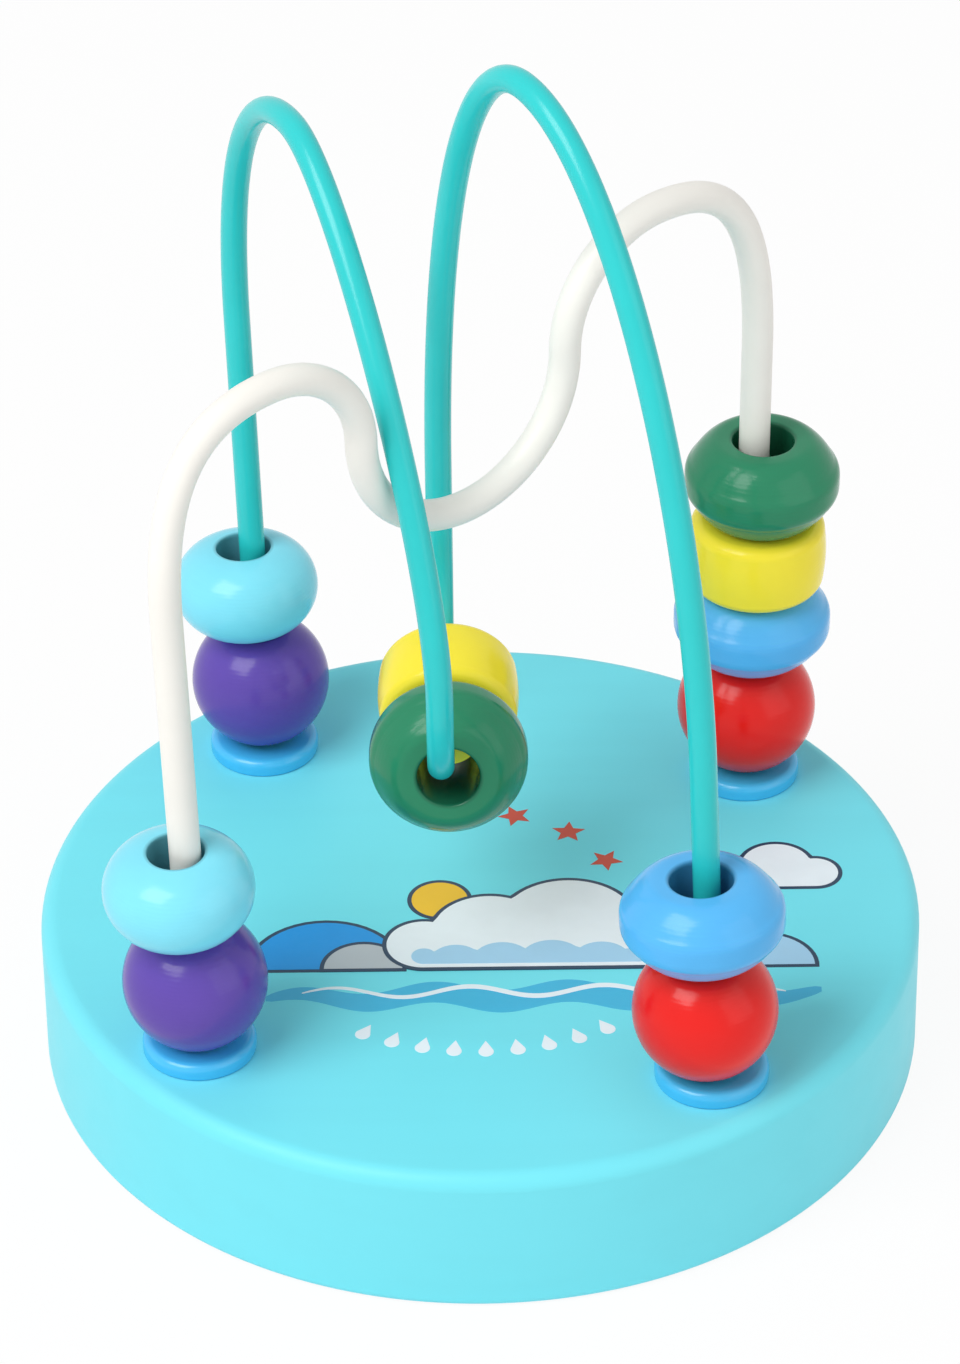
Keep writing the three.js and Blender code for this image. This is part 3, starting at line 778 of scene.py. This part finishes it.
def upright_arc(plane, centre, radius, start, end):
    angles = [start + (end - start) * i / PATH_POINTS for i in range(PATH_POINTS + 1)]
    return [plane(centre[0] + radius * math.cos(a), centre[1] + radius * math.sin(a)) for a in angles]


def hump_side(plane, low, crest, fullness, lean=0.0):
    """One side of a hump, from its steep lower end up to the level crest."""
    rise = fullness * (crest[1] - low[1])
    run = fullness * (crest[0] - low[0])
    corners = [plane(*low), plane(low[0] + lean * rise, low[1] + rise), plane(crest[0] - run, crest[1]),
               plane(*crest)]
    points = []
    for i in range(PATH_POINTS + 1):
        t = i / PATH_POINTS
        weights = ((1 - t) ** 3, 3 * t * (1 - t) ** 2, 3 * t ** 2 * (1 - t), t ** 3)
        points.append(sum((w * c for w, c in zip(weights, corners)), Vector((0, 0, 0))))
    return points


def leg(plane, foot_distance, slope, straight):
    """A leg from its end in the collar to its top, and the top's distance and height."""
    top = (foot_distance + slope * straight, COLLAR_THICKNESS + straight)
    end = plane(foot_distance, -COLLAR_SPIGOT_LENGTH)
    foot = plane(foot_distance, COLLAR_THICKNESS)
    return [end, foot, plane(*top)], top


def one_path(*stretches):
    """The stretches in one row, without the points that they share."""
    path = []
    for stretch in stretches:
        for point in stretch:
            if not path or (point - path[-1]).length > SAME_POINT:
                path.append(point)
    return path


def stack_height(*lengths):
    return sum(REST_GAP + length for length in lengths)


def white_path():
    middle = Vector((0, -FOOT_SQUARE_FORWARD))
    plane = upright_plane(middle, FEET["rear_right"])
    stack = stack_height(BALL_LENGTH, BLUE_SAUCER_LENGTH, BARREL_LENGTH, GREEN_SAUCER_LENGTH)
    straight = stack + WHITE_SLIDE_ROOM
    left_slope, right_slope = -math.tan(WHITE_LEFT_SPLAY), math.tan(WHITE_RIGHT_SPLAY)
    left_leg, left_top = leg(plane, -FOOT_CIRCLE_RADIUS, left_slope, straight)
    right_leg, right_top = leg(plane, FOOT_CIRCLE_RADIUS, right_slope, straight)
    left_radius, right_radius = WHITE_LEFT_CREST_RADIUS, WHITE_RIGHT_CREST_RADIUS
    bend_height = right_top[1] + WHITE_BEND_RISE
    left_bend = -WHITE_DIP_LEFT - WHITE_DIP_RADIUS - left_radius
    right_bend = -WHITE_DIP_LEFT + WHITE_DIP_RADIUS + right_radius
    left_crest = (left_bend, bend_height + left_radius)
    right_crest = (right_bend, bend_height + right_radius)
    return one_path(
        left_leg,
        hump_side(plane, left_top, left_crest, WHITE_HUMP_FULLNESS, left_slope),
        upright_arc(plane, (left_bend, bend_height), left_radius, math.pi / 2, 0),
        upright_arc(plane, (-WHITE_DIP_LEFT, bend_height), WHITE_DIP_RADIUS, math.pi, 2 * math.pi),
        upright_arc(plane, (right_bend, bend_height), right_radius, math.pi, math.pi / 2),
        reversed(hump_side(plane, right_top, right_crest, WHITE_HUMP_FULLNESS, right_slope)),
        reversed(right_leg),
    )


def teal_path():
    dip_front = Vector((TEAL_DIP_X, TEAL_DIP_Y - TEAL_DIP_RADIUS))
    dip_rear = Vector((TEAL_DIP_X, TEAL_DIP_Y + TEAL_DIP_RADIUS))
    dip_centre = (TEAL_DIP_RADIUS, TEAL_DIP_HEIGHT + TEAL_DIP_RADIUS)
    left = upright_plane(FEET["rear_left"], dip_front)
    dip = upright_plane(dip_front, dip_rear)
    right = upright_plane(dip_rear, FEET["front_right"])
    left_slope, right_slope = -math.tan(TEAL_LEFT_SPLAY), -math.tan(TEAL_RIGHT_LEAN)
    left_straight = stack_height(BALL_LENGTH, RONDELLE_LENGTH) + TEAL_LEFT_SLIDE_ROOM
    right_straight = stack_height(BALL_LENGTH, BLUE_SAUCER_LENGTH) + TEAL_RIGHT_SLIDE_ROOM
    left_leg, left_top = leg(left, 0, left_slope, left_straight)
    right_leg, right_top = leg(right, (FEET["front_right"] - dip_rear).length, right_slope, right_straight)
    left_crest = (TEAL_LEFT_CREST_INSET, left_top[1] + TEAL_LEFT_HUMP_RISE)
    right_crest = (TEAL_RIGHT_CREST_INSET, right_top[1] + TEAL_RIGHT_HUMP_RISE)
    front_side = ((FEET["rear_left"] - dip_front).length, dip_centre[1])
    rise_start = (0, dip_centre[1] + TEAL_RIGHT_RISE_START)
    return one_path(
        left_leg,
        hump_side(left, left_top, left_crest, TEAL_LEFT_RISE_FULLNESS, left_slope),
        reversed(hump_side(left, front_side, left_crest, TEAL_LEFT_FALL_FULLNESS)),
        upright_arc(dip, dip_centre, TEAL_DIP_RADIUS, math.pi, 2 * math.pi),
        hump_side(right, rise_start, right_crest, TEAL_RIGHT_RISE_FULLNESS),
        reversed(hump_side(right, right_top, right_crest, TEAL_RIGHT_FALL_FULLNESS, right_slope)),
        reversed(right_leg),
    )


def make_wire(name, node, path, radius, material):
    wire = grown(name, points_mesh(name, path), SWEPT, {
        "Radius": radius * MM, "Sides": WIRE_SIDES, "Step": WIRE_STEP * MM, "Material": material})
    tidied(wire)
    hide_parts(node)
    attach(wire, "frame")


# Printed sky: flat films of ink on the base; where two overlap, the upper one has the higher layer

INKS = {
    "white": printed_ink("white ink", "EAF5FB"),
    "pale blue": printed_ink("pale blue ink", "A4D3F0"),
    "blue": printed_ink("blue ink", "1798E4"),
    "sea": printed_ink("sea blue ink", "3FB7DF"),
    "dark": printed_ink("dark line ink", "1F3C56"),
    "grey": printed_ink("grey ink", "B9C3C9"),
    "yellow": printed_ink("yellow ink", "F0C22C"),
    "red": printed_ink("red ink", "C94A34"),
}


def ink_mesh(name, outline, layer):
    """A closed film of ink from its outline in millimetres, sunk a little into the paint."""
    low, high = -INK_SINK, INK_LAYER * layer
    count = len(outline)
    points = [Vector((x, y, z)) * MM for z in (low, high) for x, y in outline]
    sides = [(i, (i + 1) % count, count + (i + 1) % count, count + i) for i in range(count)]
    mesh = bpy.data.meshes.new(name)
    mesh.from_pydata(points, [], [range(count)[::-1], range(count, 2 * count), *sides])
    return mesh


def print_ink(piece, ink):
    piece.data.materials.clear()
    piece.data.materials.append(INKS[ink])
    tidied(piece)
    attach(piece, "frame")


def print_shape(name, outline, ink, layer):
    mesh = ink_mesh(name, outline, layer)
    mesh.transform(Matrix.Translation(UP * BASE_THICKNESS * MM))
    piece = bpy.data.objects.new(name, mesh)
    bpy.context.scene.collection.objects.link(piece)
    print_ink(piece, ink)


def print_row(name, motif, ink, layer, count, radius, start, sweep):
    """A motif repeated along an arc round the middle of the base, angles in degrees."""
    piece = grown(name, ink_mesh(name, motif, layer), PRINTED, {
        "Count": count, "Arc Radius": radius * MM, "Arc Start": math.radians(start),
        "Arc Sweep": math.radians(sweep), "Height": BASE_THICKNESS * MM, "Material": INKS[ink]})
    print_ink(piece, ink)


def round_shape(middle, radius, count=64):
    return arc(middle, (radius, radius), 0, 360 - 360 / count, count - 1)


def puffed_cloud(puffs, grow=0.0, count=90):
    """A cloud's outline: the tops of its round puffs, over a level floor under the end puffs."""
    grown_puffs = [(x, y, radius + grow) for x, y, radius in puffs]
    (first_x, first_y, first), (last_x, last_y, last) = grown_puffs[0], grown_puffs[-1]
    left, right = first_x - first, last_x + last
    left_end = arc((first_x, first_y), (first, first), 180, 270)
    right_end = arc((last_x, last_y), (last, last), 270, 360)
    tops = []
    for i in range(1, count):
        across = (left + right) / 2 + (right - left) / 2 * math.cos(math.pi * i / count)
        tops.append((across, max(y + math.sqrt(radius ** 2 - (across - x) ** 2)
                                 for x, y, radius in grown_puffs if abs(across - x) <= radius)))
    return [*left_end, *right_end, *tops]


def round_hill(middle, radius, floor, grow=0.0):
    """Half a disc that stands on a level floor, grown all round."""
    full = radius + grow
    below = math.degrees(math.asin(grow / full))
    return arc((middle, floor), (full, full), -below, 180 + below)


def waving_ribbon(left, right, height, half_width, swing=0.9, length=15, end_share=0.2, count=96):
    """A ribbon that waves about a level line and narrows to a share of its width at its ends."""
    low, high = [], []
    for i in range(count + 1):
        share = i / count
        x = left + (right - left) * share
        middle = height + swing * math.sin(2 * math.pi * (x - left) / length)
        half = half_width * (end_share + (1 - end_share) * math.sqrt(math.sin(math.pi * share)))
        low.append((x, middle - half))
        high.append((x, middle + half))
    return [*low, *reversed(high)]


def pointed_star(radius, waist, points=5):
    corners = []
    for i in range(2 * points):
        reach = radius if i % 2 == 0 else waist
        angle = math.pi / 2 + math.pi * i / points
        corners.append((reach * math.cos(angle), reach * math.sin(angle)))
    return corners


def pointed_drop(width, height, neck=20, count=20):
    """A drop: round below and up to the neck, in degrees, with its sides drawn to a point above."""
    bowl = arc((0, 0), (width / 2, width / 2), 180 - neck, 360 + neck, count)
    return [*bowl, (0, height)]


# Where the printed shapes lie, in millimetres from the middle of the base, with angles in degrees
# A cloud's puff has a middle and a radius, and so has a hill, which stands on the ground
GROUND = -13
SUN_MIDDLE = (-4.6, -0.4)
SUN_RADIUS = 3.2
BLUE_HILL = (-17.5, 8.5)
GREY_HILL = (-13.2, 4.4)
SMALL_HILL = (32, 5.5)
BIG_CLOUD = [(-6.4, -8.8, 4.2), (1, -6.4, 6.4), (10, -4.8, 7.6), (19, -8.4, 4.6)]
BIG_CLOUD_SHADE = [(-6.4, -11, 1.4), (-2.8, -11.9, 2.9), (2.4, -12, 3.4), (8, -12, 3.7), (13.6, -12, 3.3),
                   (18.6, -11.9, 2.7), (20.6, -11, 1.4)]
SMALL_CLOUD = [(29.8, 4, 2.6), (34, 5.4, 4), (38.4, 4, 2.6)]
WAVE = {"left": -24, "right": 38, "height": -18.2, "half_width": 2}
WAVE_CREST = {"left": -20, "right": 34, "height": -17.3, "half_width": 0.4}
STAR = {"radius": 2, "waist": 0.9}
STAR_ROW = {"count": 4, "radius": 16, "start": 25, "sweep": 75}
DROP = {"width": 1.7, "height": 1.9}
DROP_ROW = {"count": 9, "radius": 28, "start": 242, "sweep": 58}


def make_print():
    print_shape("printed_sun_line", round_shape(SUN_MIDDLE, SUN_RADIUS + LINE_WIDTH), "dark", layer=1)
    print_shape("printed_sun", round_shape(SUN_MIDDLE, SUN_RADIUS), "yellow", layer=2)
    print_shape("printed_small_hill_line", round_hill(*SMALL_HILL, GROUND, LINE_WIDTH), "dark", layer=1)
    print_shape("printed_small_hill", round_hill(*SMALL_HILL, GROUND), "pale blue", layer=2)
    print_shape("printed_blue_hill_line", round_hill(*BLUE_HILL, GROUND, LINE_WIDTH), "dark", layer=1)
    print_shape("printed_blue_hill", round_hill(*BLUE_HILL, GROUND), "blue", layer=2)
    print_shape("printed_grey_hill_line", round_hill(*GREY_HILL, GROUND, LINE_WIDTH), "dark", layer=3)
    print_shape("printed_grey_hill", round_hill(*GREY_HILL, GROUND), "grey", layer=4)
    print_shape("printed_cloud_line", puffed_cloud(BIG_CLOUD, LINE_WIDTH), "dark", layer=5)
    print_shape("printed_cloud", puffed_cloud(BIG_CLOUD), "white", layer=6)
    print_shape("printed_cloud_shade", puffed_cloud(BIG_CLOUD_SHADE), "pale blue", layer=7)
    print_shape("printed_small_cloud_line", puffed_cloud(SMALL_CLOUD, LINE_WIDTH), "dark", layer=1)
    print_shape("printed_small_cloud", puffed_cloud(SMALL_CLOUD), "white", layer=2)
    print_shape("printed_wave", waving_ribbon(**WAVE), "sea", layer=1)
    print_shape("printed_wave_crest", waving_ribbon(**WAVE_CREST), "white", layer=2)
    print_row("printed_stars", pointed_star(**STAR), "red", layer=1, **STAR_ROW)
    print_row("printed_drops", pointed_drop(**DROP), "white", layer=1, **DROP_ROW)


# Stage, light and camera

def make_floor():
    bpy.ops.mesh.primitive_plane_add(size=FLOOR_SIZE)
    floor = bpy.context.object
    floor.name = "floor"
    material, tree, shader = new_material("pale floor")
    shader.inputs["Base Color"].default_value = colour("F4F4F4")
    shader.inputs["Roughness"].default_value = 0.9
    shader.inputs["Specular IOR Level"].default_value = 0.1
    floor.data.materials.append(material)
    surface = tree.nodes["Material Output"].inputs["Surface"]
    show_as_white(tree, shader.outputs[0], surface, FLOOR_WHITE_SHARE)


def seen_directly(tree):
    """1 for what the camera, gloss and glass see, and 0 for the light that falls on things."""
    rays = add_node(tree, "ShaderNodeLightPath", (1, 3))
    seen = math_node(tree, "MAXIMUM", rays.outputs["Is Camera Ray"], rays.outputs["Is Glossy Ray"], (2, 3))
    return math_node(tree, "MAXIMUM", seen, rays.outputs["Is Transmission Ray"], (3, 3))


def show_as_white(tree, surface, target, share):
    """Shows plain white to the camera, gloss and glass, and leaves the light itself alone."""
    factor = math_node(tree, "MULTIPLY", seen_directly(tree), share, (4, 3))
    white = add_node(tree, "ShaderNodeEmission", (3, 1))
    white.inputs["Color"].default_value = WHITE
    mix = add_node(tree, "ShaderNodeMixShader", (5, 2))
    joined(tree, factor, mix.inputs[0])
    joined(tree, surface, mix.inputs[1])
    joined(tree, white.outputs[0], mix.inputs[2])
    joined(tree, mix.outputs[0], target)


def make_world():
    world = bpy.data.worlds.new("studio")
    bpy.context.scene.world = world
    world.use_nodes = True
    tree = world.node_tree
    air = tree.nodes["Background"]
    air.inputs["Color"].default_value = WHITE
    air.inputs["Strength"].default_value = SKY_STRENGTH
    white = add_node(tree, "ShaderNodeBackground", (0, 2))
    white.inputs["Color"].default_value = WHITE
    mix = add_node(tree, "ShaderNodeMixShader", (5, 1))
    joined(tree, seen_directly(tree), mix.inputs[0])
    joined(tree, air.outputs[0], mix.inputs[1])
    joined(tree, white.outputs[0], mix.inputs[2])
    joined(tree, mix.outputs[0], tree.nodes["World Output"].inputs["Surface"])


def make_lamp(name, place, size, power):
    """A square softbox that looks at the middle of the object."""
    lamp = bpy.data.lights.new(name, "AREA")
    lamp.shape = "SQUARE"
    lamp.size = size
    lamp.energy = power
    holder = bpy.data.objects.new(name, lamp)
    holder.location = place
    holder.rotation_euler = (Vector(OBJECT_MIDDLE) - Vector(place)).to_track_quat("-Z", "Y").to_euler()
    bpy.context.scene.collection.objects.link(holder)


def make_camera():
    forward = Vector((0, math.cos(CAMERA_PITCH), -math.sin(CAMERA_PITCH)))
    level_up = Vector((0, math.sin(CAMERA_PITCH), math.cos(CAMERA_PITCH)))
    right = Vector((math.cos(CAMERA_ROLL), 0, 0)) + level_up * math.sin(CAMERA_ROLL)
    up = right.cross(forward)
    lens = bpy.data.cameras.new("photo lens")
    lens.sensor_fit = "VERTICAL"
    lens.sensor_height = SENSOR_MM
    lens.lens = SENSOR_MM * FOCAL_PIXELS / PHOTO_HEIGHT_PIXELS
    camera = bpy.data.objects.new("camera", lens)
    turn = Matrix((right, up, -forward)).transposed().to_4x4()
    camera.matrix_world = Matrix.Translation(CAMERA_PLACE * MM) @ turn
    bpy.context.scene.collection.objects.link(camera)
    bpy.context.scene.camera = camera


make_camera()
make_world()
make_floor()
make_lamp("key softbox", **KEY_SOFTBOX)
make_lamp("fill softbox", **FILL_SOFTBOX)
bpy.context.scene.view_settings.view_transform = "Standard"

make_base()
make_collars()
make_wire("white_coated_wire", "white_wire", white_path(), WHITE_WIRE_RADIUS,
          coated_wire("cream coating", "F4F1EA", roughness=0.38))
make_wire("teal_coated_wire", "teal_wire", teal_path(), TEAL_WIRE_RADIUS,
          coated_wire("teal coating", "2ACACA", roughness=0.24))
make_print()
for bead_node in [name for name in frame["nodes"] if any(name.startswith(kind) for kind in BEAD_PROFILES)]:
    make_bead(bead_node)
